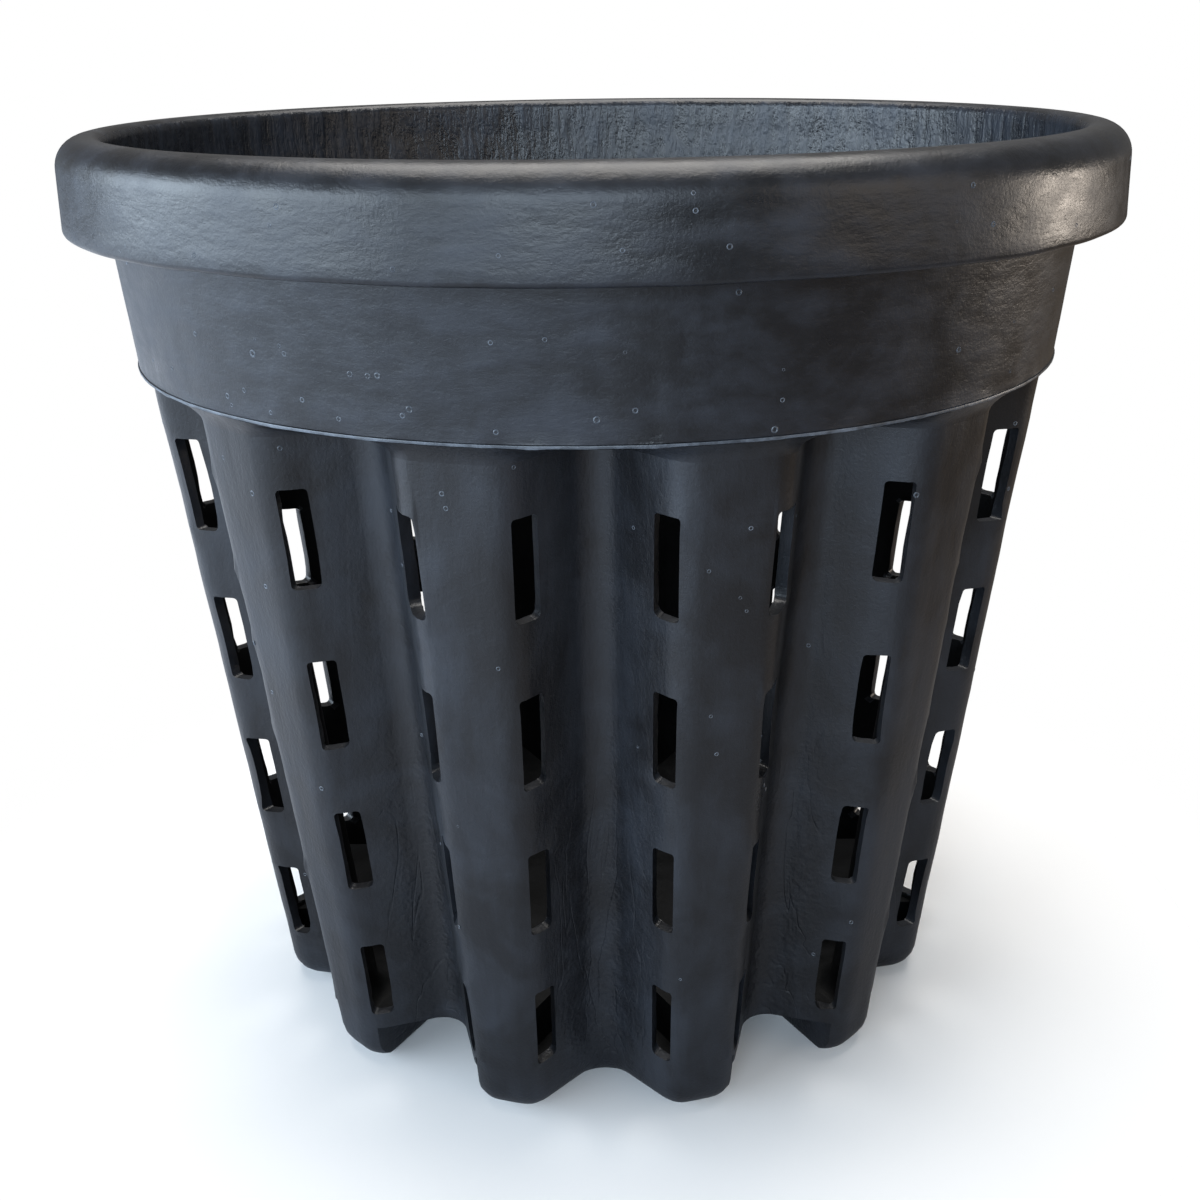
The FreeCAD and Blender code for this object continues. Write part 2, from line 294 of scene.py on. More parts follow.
def polypropylene(name, look):
    # Black polypropylene with recycled content, injection moulded and never polished: it gives the eye a near-black
    # charcoal with a soft, blotchy sheen, fine grain, and flow marks where the melt slowed.
    material = bpy.data.materials.new(name)
    material.use_nodes = True
    tree = material.node_tree
    tree.nodes.clear()
    place = addNode(tree, "ShaderNodeTexCoord").outputs["Object"]
    toMm = addNode(tree, "ShaderNodeMapping", {"in:Scale": (1000, 1000, 1000)}, {"Vector": place}).outputs[0]

    cloud = addNode(tree, "ShaderNodeTexNoise",
                    {"in:Scale": 1 / look["cloudMm"], "in:Detail": 5, "in:Roughness": 0.62, "in:Distortion": 0.6},
                    {"Vector": toMm}).outputs[0]
    stretched = addNode(tree, "ShaderNodeMapping", {"in:Scale": look["streakShape"]}, {"Vector": toMm}).outputs[0]
    streak = addNode(tree, "ShaderNodeTexNoise",
                     {"in:Scale": 1 / look["streakMm"], "in:Detail": 6, "in:Roughness": 0.6},
                     {"Vector": stretched}).outputs[0]
    grain = addNode(tree, "ShaderNodeTexNoise",
                    {"in:Scale": 1 / look["grainMm"], "in:Detail": 3, "in:Roughness": 0.7},
                    {"Vector": toMm}).outputs[0]

    blotch = addNode(tree, "ShaderNodeMix", {"data_type": "FLOAT", "in:0": 0.5}, {"2": cloud, "3": streak}).outputs[0]
    chalk = addNode(tree, "ShaderNodeMapRange", {"in:From Min": 0.44, "in:From Max": 0.68},
                    {"Value": blotch}).outputs[0]
    colour = addNode(tree, "ShaderNodeMix",
                     {"data_type": "RGBA", "in:6": srgb(look["colour"]), "in:7": srgb(look["chalky"])},
                     {"0": chalk}).outputs[2]
    rough = addNode(tree, "ShaderNodeMapRange",
                    {"in:From Min": 0.35, "in:From Max": 0.65, "in:To Min": look["roughness"][0],
                     "in:To Max": look["roughness"][1]}, {"Value": blotch}).outputs[0]

    bumpA = addNode(tree, "ShaderNodeBump", {"in:Strength": look["grain"], "in:Distance": 0.0001},
                    {"Height": grain}).outputs[0]
    bumpB = addNode(tree, "ShaderNodeBump",
                    {"in:Strength": look["wave"], "in:Distance": look.get("waveDepth", 0.0004)},
                    {"Height": streak, "Normal": bumpA}).outputs[0]
    if look.get("flow"):
        # low in the valleys the melt met itself: wavy flow lines and an orange-peel skin
        heightMm = addNode(tree, "ShaderNodeSeparateXYZ", {}, {"0": toMm}).outputs[2]
        flat = addNode(tree, "ShaderNodeMapping", {"in:Scale": (1, 1, 0)}, {"Vector": toMm}).outputs[0]
        fromAxis = addNode(tree, "ShaderNodeVectorMath", {"operation": "LENGTH"}, {"0": flat}).outputs["Value"]
        crestAt = addNode(tree, "ShaderNodeMapRange",
                          {"clamp": False, "in:From Max": 103, "in:To Min": lobes["crestFoot"],
                           "in:To Max": lobes["crestShelf"]}, {"Value": heightMm}).outputs[0]
        behind = addNode(tree, "ShaderNodeMath", {"operation": "SUBTRACT"}, {"0": crestAt, "1": fromAxis}).outputs[0]
        inValley = addNode(tree, "ShaderNodeMapRange",
                           {"in:From Min": flow["behind"][0], "in:From Max": flow["behind"][1]},
                           {"Value": behind}).outputs[0]
        low = addNode(tree, "ShaderNodeMapRange", {"in:From Min": flow["low"][0], "in:From Max": flow["low"][1]},
                      {"Value": heightMm}).outputs[0]
        there = addNode(tree, "ShaderNodeMath", {"operation": "MULTIPLY"}, {"0": inValley, "1": low}).outputs[0]
        tall = addNode(tree, "ShaderNodeMapping", {"in:Scale": (1, 1, 0.3)}, {"Vector": toMm}).outputs[0]
        drift = addNode(tree, "ShaderNodeTexNoise",
                        {"in:Scale": 1 / flow["lineMm"], "in:Detail": 3, "in:Distortion": 1.2},
                        {"Vector": tall}).outputs[0]
        centred = addNode(tree, "ShaderNodeMath", {"operation": "SUBTRACT", "in:1": 0.5}, {"0": drift}).outputs[0]
        apart = addNode(tree, "ShaderNodeMath", {"operation": "ABSOLUTE"}, {"0": centred}).outputs[0]
        line = addNode(tree, "ShaderNodeMapRange", {"in:From Min": flow["lineWidth"], "in:From Max": 0},
                       {"Value": apart}).outputs[0]
        peel = addNode(tree, "ShaderNodeTexNoise", {"in:Scale": 1 / flow["peelMm"], "in:Detail": 1},
                       {"Vector": toMm}).outputs[0]
        faint = addNode(tree, "ShaderNodeMath", {"operation": "MULTIPLY", "in:1": flow["lineShare"]},
                        {"0": line}).outputs[0]
        skin = addNode(tree, "ShaderNodeMath", {"operation": "SUBTRACT"}, {"0": peel, "1": faint}).outputs[0]
        lift = addNode(tree, "ShaderNodeMath", {"operation": "MULTIPLY"}, {"0": skin, "1": there}).outputs[0]
        bumpB = addNode(tree, "ShaderNodeBump", {"in:Strength": flow["strength"], "in:Distance": flow["depth"]},
                        {"Height": lift, "Normal": bumpB}).outputs[0]
    shader = addNode(tree, "ShaderNodeBsdfPrincipled",
                     {"in:IOR": 1.49, "in:Metallic": 0, "in:Specular IOR Level": look.get("shine", 0.5)},
                     {"Base Color": colour, "Roughness": rough, "Normal": bumpB})
    addNode(tree, "ShaderNodeOutputMaterial", {}, {"Surface": shader.outputs[0]})
    return material


wallLook = {"colour": "#131417", "chalky": "#272b32", "roughness": (0.27, 0.46), "cloudMm": 15, "streakMm": 9,
            "streakShape": (1, 1, 0.22), "grainMm": 0.55, "grain": 0.6, "wave": 0.8, "flow": True}
rimLook = {"colour": "#131519", "chalky": "#23272f", "roughness": (0.26, 0.46), "cloudMm": 11, "streakMm": 8,
           "streakShape": (1, 1, 2.6), "grainMm": 0.5, "grain": 0.38, "wave": 0.4}
insideLook = {"colour": "#12151b", "chalky": "#262d38", "roughness": (0.2, 0.36), "cloudMm": 9, "streakMm": 2.4,
              "streakShape": (1, 1, 0.22), "grainMm": 0.9, "grain": 1.0, "wave": 1.0, "waveDepth": 0.0006}
# Painted shade: a darker copy of the plastic with less shine, for the wall's inner skin, the slot walls, the ledge's
# inside, the feet's insides and the floor, where little light falls.
paintedShadeLook = {"colour": "#08090a", "chalky": "#121315", "roughness": (0.45, 0.6), "cloudMm": 12, "streakMm": 5,
            "streakShape": (1, 1, 0.3), "grainMm": 0.9, "grain": 0.4, "wave": 0.4, "shine": 0.1}
# partly painted highlight: a lighter grey for the bubble rings and the flash
glintAndStretchedLook = {"colour": "#3a3f46", "chalky": "#666d77", "roughness": (0.3, 0.45), "cloudMm": 3, "streakMm": 2,
                 "streakShape": (1, 1, 1), "grainMm": 0.4, "grain": 0.3, "wave": 0.1}
wallPlastic = polypropylene("moulded_polypropylene_wall", wallLook)
rimPlastic = polypropylene("moulded_polypropylene_rim", rimLook)
insidePlastic = polypropylene("moulded_polypropylene_inside", insideLook)
# painted shade: the darker copy of the plastic for the insides and the slot walls
paintedShadePlastic = polypropylene("moulded_polypropylene_painted_shade_inside", paintedShadeLook)
# A lighter grey: partly where the skin was stretched thin over a bubble or torn at an edge, partly a painted
# highlight for the glint these small edges catch.
glintAndStretchedPlastic = polypropylene("moulded_polypropylene_stretched_and_glint", glintAndStretchedLook)
print("materials made")


# Bubbles that burst in the skin: azimuth in degrees, height and radius in mm, as photographed on the front.
bubbles = {
    "collar": ((-35.8, 112.1, 0.55), (-31.4, 112.6, 0.4), (-23.8, 111.0, 0.45), (-20.8, 111.1, 0.45),
               (-30.0, 107.3, 0.4),
               (-34.6, 105.1, 0.35), (-41.1, 106.1, 0.45), (-38.1, 107.3, 0.4), (-25.8, 105.5, 0.4), (-18.6, 106.6,
                                                                                                      0.4),
               (-17.8, 107.4, 0.5), (0.3, 106.7, 0.5), (3.9, 107.7, 0.4), (-9.3, 105.2, 0.4), (-9.3, 115.4, 0.35),
               (-4.3, 115.8, 0.35), (18.2, 107.9, 0.35), (17.6, 104.5, 0.5), (-26.2, 130.0, 0.4), (8.0, 131.5, 0.3),
               (10.9, 126.1, 0.4)),
    "wall": ((-41.9, 93.0, 0.45), (-46.5, 96.8, 0.35), (-37.8, 99.3, 0.4), (-15.8, 97.0, 0.4), (-15.5, 95.2, 0.4),
             (-8.3, 100.3, 0.35)),
    # how many more lie anywhere, between which heights, and how large
    "scattered": {"collar": 70, "wall": 120}, "heights": {"collar": (105, 131), "wall": (14, 99)},
    "sizes": (0.22, 0.45),
    "ring": 0.45, "tube": 0.16, "around": 10, "tubeSides": 5, "fullSize": 0.66, "sunk": 0.04,
    # rays look for the skin from this far out, this deep, and not where it turns away
    "rayFrom": 80, "rayLength": 30, "leastFacing": 0.25,
    "seed": 23,
}
chance = random.Random(bubbles["seed"])


def bubbleShape():
    bm = bmesh.new()
    place = Matrix.Translation((bubbles["ring"] * mm, 0, 0)) @ Matrix.Rotation(math.pi / 2, 4, "X")
    made = bmesh.ops.create_circle(bm, segments=bubbles["tubeSides"], radius=bubbles["tube"] * mm, matrix=place)
    bmesh.ops.spin(bm, geom=made["verts"] + bm.edges[:], cent=(0, 0, 0), axis=(0, 0, 1), angle=2 * math.pi,
                   steps=bubbles["around"], use_merge=True)
    faceOutward(bm)
    # the rings take the lighter grey plastic: partly stretched skin, partly a painted highlight on their edges
    for face in bm.faces:
        face.material_index = 2
    shape = bpy.data.meshes.new("bubble")
    bm.to_mesh(shape)
    bm.free()
    return shape


def addBubbles(bm, part):
    skin = BVHTree.FromBMesh(bm)
    shape = bubbleShape()
    wanted = list(bubbles[part])
    for index in range(bubbles["scattered"][part]):
        wanted.append((chance.uniform(-180, 180), chance.uniform(*bubbles["heights"][part]),
                       chance.uniform(*bubbles["sizes"])))
    gathered = bmesh.new()
    for degrees, height, radius in wanted:
        outward = Vector((math.sin(math.radians(degrees)), -math.cos(math.radians(degrees)), 0))
        start = (outward * bubbles["rayFrom"] + Vector((0, 0, height))) * mm
        place, normal, _, _ = skin.ray_cast(start, -outward, bubbles["rayLength"] * mm)
        if place is None or normal.dot(outward) < bubbles["leastFacing"]:
            continue
        first = len(gathered.verts)
        gathered.from_mesh(shape)
        gathered.verts.ensure_lookup_table()
        grow = Matrix.Scale(radius / bubbles["fullSize"], 4)
        turn = normal.to_track_quat("Z", "Y").to_matrix().to_4x4()
        sunk = Matrix.Translation(place - normal * bubbles["sunk"] * mm)
        bmesh.ops.transform(gathered, matrix=sunk @ turn @ grow, verts=gathered.verts[first:])
    gathered.to_mesh(shape)
    gathered.free()
    bm.from_mesh(shape)
    bpy.data.meshes.remove(shape)


def slotRowMarks():
    marks = []
    for share in slots["rows"]:
        low = mixed(slots["bottom"], share)
        marks.append((low, low + mixed(slots["height"], share)))
    return marks


def makeLobedWall():
    slotMarks = slotRowMarks()
    slotHeights = [height for pair in slotMarks for height in pair]
    marks = [lobes["channelTop"], lobes["bottom"], *slotHeights, lobes["shelf"]]
    heights = splitHeights(marks, lobes["rowStep"])
    columns = ringColumns()
    outer, inner = [], []
    for height in heights:
        gap = lobes["channelHalf"] if height <= lobes["bottom"] + rowMargin else None
        outer.append(ringPoints(columns, height, 0, gap))
        inner.append(ringPoints(columns, height, lobes["wall"], gap))
    bm = bmesh.new()
    columnLayer = bm.verts.layers.int.new("column")
    rowLayer = bm.verts.layers.int.new("row")
    grownRings(bm, outer, columnLayer, rowLayer)

    def rowOf(height):
        return min(range(len(heights)), key=lambda index: abs(heights[index] - height))

    def faceSpan(face):
        stations = [columns[vert[columnLayer]] for vert in face.verts]
        return stations, min(vert[rowLayer] for vert in face.verts)

    slotRows = [(rowOf(low), rowOf(high)) for low, high in slotMarks]
    footRow = rowOf(lobes["bottom"])
    openFaces = []
    for face in bm.faces:
        stations, row = faceSpan(face)
        inSlot = all(slotNear <= station <= slotFar for _, _, station in stations)
        if inSlot and any(low <= row < high for low, high in slotRows):
            openFaces.append(face)
        # below the floor's level only the ends of the channels are closed by the wall
        if row < footRow:
            kept = all(side == channelSideOf(lobe) and station >= slotNear or station == lastStation
                       for lobe, side, station in stations)
            channelValley = any(side == channelSideOf(lobe) and station < lastStation
                                for lobe, side, station in stations)
            if not (kept and channelValley):
                openFaces.append(face)
    bmesh.ops.delete(bm, geom=list(set(openFaces)), context="FACES")
    bmesh.ops.recalc_face_normals(bm, faces=bm.faces[:])
    sample = bm.faces[:][0]
    if sample.normal.dot(sample.calc_center_median() * Vector((1, 1, 0))) < 0:
        bmesh.ops.reverse_faces(bm, faces=bm.faces[:])
    made = bmesh.ops.solidify(bm, geom=bm.faces[:], thickness=lobes["wall"] * mm)["geom"]
    innerVerts = set(item for item in made if isinstance(item, bmesh.types.BMVert))
    innerFaces = set(item for item in made if isinstance(item, bmesh.types.BMFace))
    for vert in innerVerts:
        vert.co = inner[vert[rowLayer]][vert[columnLayer]]
    # the inner skin and the slot walls take the darker copy of the plastic: painted shade
    for face in bm.faces:
        if face in innerFaces:
            face.material_index = 1

    # corners of the slots: the lower one on the valley's side is worn rounder
    corners = {"plain": [], "worn": []}
    for edge in bm.edges:
        first, second = edge.verts
        if first[columnLayer] != second[columnLayer] or first[rowLayer] != second[rowLayer]:
            continue
        _, _, station = columns[first[columnLayer]]
        if station not in (slotNear, slotFar):
            continue
        for low, high in slotRows:
            if first[rowLayer] == low:
                corners["worn" if station == slotFar else "plain"].append(edge)
            elif first[rowLayer] == high:
                corners["plain"].append(edge)
    print("slot corners", len(corners["plain"]), len(corners["worn"]))
    for kind, size in (("plain", slots["cornerRound"]), ("worn", slots["worn"])):
        bmesh.ops.bevel(bm, geom=[edge for edge in corners[kind] if edge.is_valid], offset=size * mm, segments=4,
                        profile=0.5, affect="EDGES", material=-1)
    # the outer edges of the slots carry a fine torn lip
    lips = []
    lowest, highest = lobes["bottom"] + slots["lipMargin"], lobes["shelf"] - slots["lipMargin"]
    for edge in bm.edges:
        kinds = sorted(face.material_index for face in edge.link_faces)
        if kinds == [0, 1] and all(lowest < vert.co.z / mm < highest for vert in edge.verts):
            lips.append(edge)
    torn = bmesh.ops.bevel(bm, geom=lips, offset=slots["lip"] * mm, segments=2, profile=0.5, affect="EDGES",
                           material=-1)
    for vert in torn["verts"]:
        spot = vert.co / (slots["tearSize"] * mm)
        outward = Vector((vert.co.x, vert.co.y, 0)).normalized()
        away = outward * max(0, noise.noise(spot)) * slots["tear"]
        vert.co += (away + noise.noise_vector(spot) * slots["tearAside"]) * mm
    # the skin swells a little round the ends of the slots
    for vert in bm.verts:
        if vert in innerVerts or not all(face.material_index == 0 for face in vert.link_faces):
            continue
        height = vert.co.z / mm
        nearEnd = min(min(abs(height - low), abs(height - high)) for low, high in slotMarks)
        _, _, station = columns[vert[columnLayer]]
        reach, beside = slots["swellReach"], slots["swellStations"]
        if nearEnd < reach and slotNear - beside <= station <= slotFar + beside:
            lump = noise.noise(vert.co / (slots["swellSize"] * mm)) + slots["swellShare"]
            swell = max(0, lump) * (1 - nearEnd / reach)
            vert.co += Vector((vert.co.x, vert.co.y, 0)).normalized() * (swell * slots["swell"] * mm)
    print("slot lips", len(lips))
    addBubbles(bm, "wall")
    return newPiece("lobed_wall", bm, [wallPlastic, paintedShadePlastic, glintAndStretchedPlastic])


lobedWall = makeLobedWall()
takePlace(lobedWall, *[f"lobe_{index:02d}" for index in range(1, lobes["count"] + 1)])
print("lobed wall made", len(lobedWall.data.polygons))


# The ledge between the lobes and the collar: its flare gives, row by row, how far up and how far out it has grown.
ledge = {"top": 103.3, "radius": 67.2, "inner": 65.6, "innerRound": 0.4, "underCollar": 0.05, "wallOverlap": 0.3,
         "flare": ((0, 0), (0.25, 0.1), (0.53, 0.375), (0.82, 0.75), (1, 1))}


def ringRows(columns, radius, height):
    # a circle whose points keep the azimuth of the wall's columns
    shelfPoints = ringPoints(columns, lobes["shelf"], 0)
    return [Vector((point.x, point.y, 0)).normalized() * (radius * mm) + Vector((0, 0, height * mm))
            for point in shelfPoints]


def flareRow(columns, index):
    # the underside grows out of the lobed wall and hollows upward to the collar's edge
    rise, reach = ledge["flare"][index]
    points = []
    for low, high in zip(ringPoints(columns, lobes["shelf"], 0),
                         ringRows(columns, ledge["radius"], ledge["top"] - ledge["underCollar"])):
        place = low.lerp(high, reach)
        place.z = low.z + (high.z - low.z) * rise
        points.append(place)
    return points


def makeLedge():
    columns = ringColumns()
    wallOutside = ringPoints(columns, lobes["shelf"], ledge["wallOverlap"])
    wallInside = ringPoints(columns, lobes["shelf"], lobes["wall"])
    lift = Vector((0, 0, (ledge["top"] - lobes["shelf"]) * mm))
    rows = [
        wallOutside,
        *[flareRow(columns, index) for index in range(len(ledge["flare"]))],
        ringRows(columns, ledge["inner"] + ledge["innerRound"], ledge["top"]),
        ringRows(columns, ledge["inner"], ledge["top"]),
        [point + lift for point in wallInside],
        [point + lift * 0.5 for point in wallInside],
        wallInside,
    ]
    bm = bmesh.new()
    columnLayer = bm.verts.layers.int.new("column")
    rowLayer = bm.verts.layers.int.new("row")
    grownRings(bm, rows, columnLayer, rowLayer)
    loops = [edge for edge in bm.edges if edge.is_boundary]
    bmesh.ops.bridge_loops(bm, edges=loops)
    bmesh.ops.recalc_face_normals(bm, faces=bm.faces[:])
    # the ledge's inside takes the darker copy of the plastic: painted shade
    for face in bm.faces:
        if min(vert[rowLayer] for vert in face.verts) > len(ledge["flare"]):
            face.material_index = 1
    return newPiece("ledge", bm, [wallPlastic, paintedShadePlastic])


ledgePiece = makeLedge()
takePlace(ledgePiece, "shelf")
print("ledge made")


# Collar and rim are one section turned about the axis.
collar = {"bottom": 103.3, "bottomRadius": 67.2, "topRadius": 70.1, "wall": 1.6, "flash": 0.17, "flashHeight": 0.42,
          # heights above the flash, where it starts, and its section below its top and above its foot
          "aboveFlash": (0.7, 0.35, 0.08), "flashShoulder": 0.8, "flashDrops": (0.02, 0.12), "flashFoot": 0.06}
rim = {"top": 134.6, "skirtBottom": 122.1, "skirtRadius": 75.1, "skirtDraft": 0.2, "thickness": 1.8,
       "outerRound": 4.0, "innerRound": 1.6, "edgeRound": 0.7, "seat": 130.0, "turnSteps": 400,
       "skirtInnerEdge": 0.3, "roofCorner": 0.4, "betweenWalls": 71}
# The longest steps of the section's straight runs in mm, and how many steps its rounds have.
sectionSteps = {"inside": 2.2, "top": 1.2, "skirt": 1.5, "hollow": 2.5, "outside": 2.0,
                "innerRound": 6, "outerRound": 10, "edgeRound": 5, "hollowRound": 4}
# How uneven it is, in mm: the size of the waves, and how deep they are on each part.
uneven = {"size": 15, "skirt": 0.14, "edge": 0.28, "edgeFineness": 1.4, "wall": 0.09,
          "flash": 0.05, "flashSag": 0.12, "flashWaves": ((1, 4.5), (0.6, 1.7)),
          "wrinkle": 0.16, "wrinkleAcross": 3.2, "wrinkleAlong": 13, "wrinkleShift": 4}


def arcPoints(centreX, centreZ, radius, start, end, count):
    angles = [math.radians(start + (end - start) * index / count) for index in range(count + 1)]
    return [(centreX + radius * math.cos(angle), centreZ + radius * math.sin(angle)) for angle in angles]


def splitLine(start, end, step):
    length = math.hypot(end[0] - start[0], end[1] - start[1])
    count = max(1, round(length / step))
    return [(mixed((start[0], end[0]), index / count), mixed((start[1], end[1]), index / count))
            for index in range(1, count)]


def makeRimAndCollar():
    inner = collar["topRadius"] - collar["wall"]
    outer = rim["skirtRadius"] - rim["skirtDraft"]
    lip = rim["edgeRound"]
    roof = rim["top"] - rim["thickness"]
    low = collar["bottom"]
    hollowRound = rim["outerRound"] - rim["thickness"]
    section = [(collar["bottomRadius"] - collar["wall"], low)]
    section += splitLine(section[-1], (inner, rim["seat"]), sectionSteps["inside"]) + [(inner, rim["seat"])]
    section += arcPoints(inner + rim["innerRound"], rim["top"] - rim["innerRound"], rim["innerRound"], 180, 90,
                         sectionSteps["innerRound"])
    section += splitLine(section[-1], (outer - rim["outerRound"], rim["top"]), sectionSteps["top"])
    section += arcPoints(outer - rim["outerRound"], rim["top"] - rim["outerRound"], rim["outerRound"], 90, 0,
                         sectionSteps["outerRound"])
    skirtEnd = (rim["skirtRadius"], rim["skirtBottom"] + lip)
    section += splitLine(section[-1], skirtEnd, sectionSteps["skirt"])
    section += arcPoints(rim["skirtRadius"] - lip, rim["skirtBottom"] + lip, lip, 0, -90, sectionSteps["edgeRound"])
    insideBottom = (rim["skirtRadius"] - rim["thickness"], rim["skirtBottom"])
    edge = rim["skirtInnerEdge"]
    section += [(insideBottom[0] + edge, insideBottom[1]), (insideBottom[0], insideBottom[1] + edge)]
    hollowSide = (outer - rim["thickness"], rim["top"] - rim["outerRound"])
    section += splitLine(section[-1], hollowSide, sectionSteps["hollow"])
    section += arcPoints(outer - rim["outerRound"], hollowSide[1], hollowRound, 0, 90, sectionSteps["hollowRound"])
    corner = rim["roofCorner"]
    section += [(collar["topRadius"] + corner, roof), (collar["topRadius"], roof - corner)]
    flashTop = low + collar["flashHeight"]
    slope = (collar["topRadius"] - collar["bottomRadius"]) / (rim["seat"] - low)
    collarAt = collar["bottomRadius"] + slope * collar["flashHeight"]
    far, near, start = collar["aboveFlash"]
    section += splitLine(section[-1], (collarAt + slope * far, flashTop + far), sectionSteps["outside"])
    section += [(collarAt + slope * near, flashTop + near), (collarAt, flashTop + start)]
    shoulder = collarAt + collar["flash"] * collar["flashShoulder"]
    section += [(shoulder, flashTop - collar["flashDrops"][0]),
                (collarAt + collar["flash"], flashTop - collar["flashDrops"][1]),
                (shoulder, low + collar["flashFoot"]), (collar["bottomRadius"], low)]
    bm = bmesh.new()
    verts = [bm.verts.new((radius * mm, 0, height * mm)) for radius, height in section]
    edges = [bm.edges.new((a, b)) for a, b in zip(verts, verts[1:] + verts[:1])]
    bmesh.ops.spin(bm, geom=verts + edges, cent=(0, 0, 0), axis=(0, 0, 1), angle=2 * math.pi, steps=rim["turnSteps"],
                   use_merge=True)
    faceOutward(bm)
    for face in bm.faces:
        middle = face.calc_center_median() / mm
        radius = math.hypot(middle.x, middle.y)
        if radius < inner + 0.5 and face.normal.dot(Vector((middle.x, middle.y, 0))) < 0:
            face.material_index = 1
    for vert in bm.verts:
        place = vert.co / mm
        radius = math.hypot(place.x, place.y)
        outward = Vector((place.x, place.y, 0)).normalized()
        spot = place / uneven["size"]
        if place.z > rim["skirtBottom"] - 0.5 and radius > rim["betweenWalls"]:
            vert.co -= outward * (uneven["skirt"] * (0.5 + 0.5 * noise.noise(spot))) * mm
            if place.z < rim["skirtBottom"] + 1:
                vert.co.z += uneven["edge"] * (0.5 + 0.5 * noise.noise(spot * uneven["edgeFineness"])) * mm
        elif place.z < flashTop + 0.1 and radius > collar["bottomRadius"] - 0.1:
            ragged = sum(strength * noise.noise(place / size) for strength, size in uneven["flashWaves"])
            vert.co += outward * (uneven["flash"] * ragged) * mm
            if place.z < flashTop - 0.2:
                vert.co.z -= uneven["flashSag"] * max(0, ragged) * mm
        elif radius < inner + 0.4 and place.z < rim["seat"]:
            # shrink wrinkles run up the inside
            around = math.atan2(place.y, place.x) * inner
            along = Vector((around / uneven["wrinkleAcross"], place.z / uneven["wrinkleAlong"],
                            uneven["wrinkleShift"]))
            vert.co -= outward * (uneven["wrinkle"] * abs(noise.noise(along))) * mm
        else:
            vert.co += outward * (uneven["wall"] * noise.noise(spot)) * mm
    # the flash at the parting line is a thin torn skin in a lighter grey: partly whitened torn skin, partly a painted
    # highlight for the bright line it catches
    for face in bm.faces:
        middle = face.calc_center_median() / mm
        if low + 0.02 < middle.z < flashTop - 0.02 and math.hypot(middle.x, middle.y) > collar["bottomRadius"]:
            face.material_index = 2
    addBubbles(bm, "collar")
    return newPiece("rim_and_collar", bm, [rimPlastic, insidePlastic, glintAndStretchedPlastic])


rimAndCollar = makeRimAndCollar()
takePlace(rimAndCollar, "rim", "skirt", "collar")
print("rim and collar made", len(rimAndCollar.data.polygons))


# The feet are six hollow cups under the wall.
foot = {"floor": 2.0, "channelEdgeRound": 1.1, "drainRadius": 2.5, "drainDistance": 36.0, "sideSteps": 9,
        "drainSteps": 20, "roundTurns": (0, 18, 36, 54, 72, 90), "wallHeights": (5.6, 7.2)}


def footLoop(number, height, inset, gap):
    # round the foot: the lobed front from one channel to the next, then the two straight sides to the tip
    axis = number * 2 * math.pi / footCount
    first, second = (2 * number - 1) % lobes["count"], 2 * number
    plain = halfLobe(height, inset)
    cut = halfLobe(height, inset, gap)
    front = [(first, -1, station) for station in range(slotNear, 0, -1)]
    front += [(first, 1, station) for station in range(lastStation)]
    front += [(second, -1, station) for station in range(lastStation, 0, -1)]
    front += [(second, 1, station) for station in range(slotNear + 1)]
    points = []
    for lobe, side, station in front:
        across, out = (cut if side == channelSideOf(lobe) else plain)[station]
        points.append(turnedPoint(side * across, out, height, lobeAxis(lobe)))
    tip = turnedPoint(0, gap / math.sin(math.pi / footCount), height, axis)
    count = foot["sideSteps"]
    start, end = points[0], points[-1]
    points += [end.lerp(tip, (index + 1) / count) for index in range(count)]
    points += [tip.lerp(start, (index + 1) / count) for index in range(count - 1)]
    return [rippled(point) for point in points]


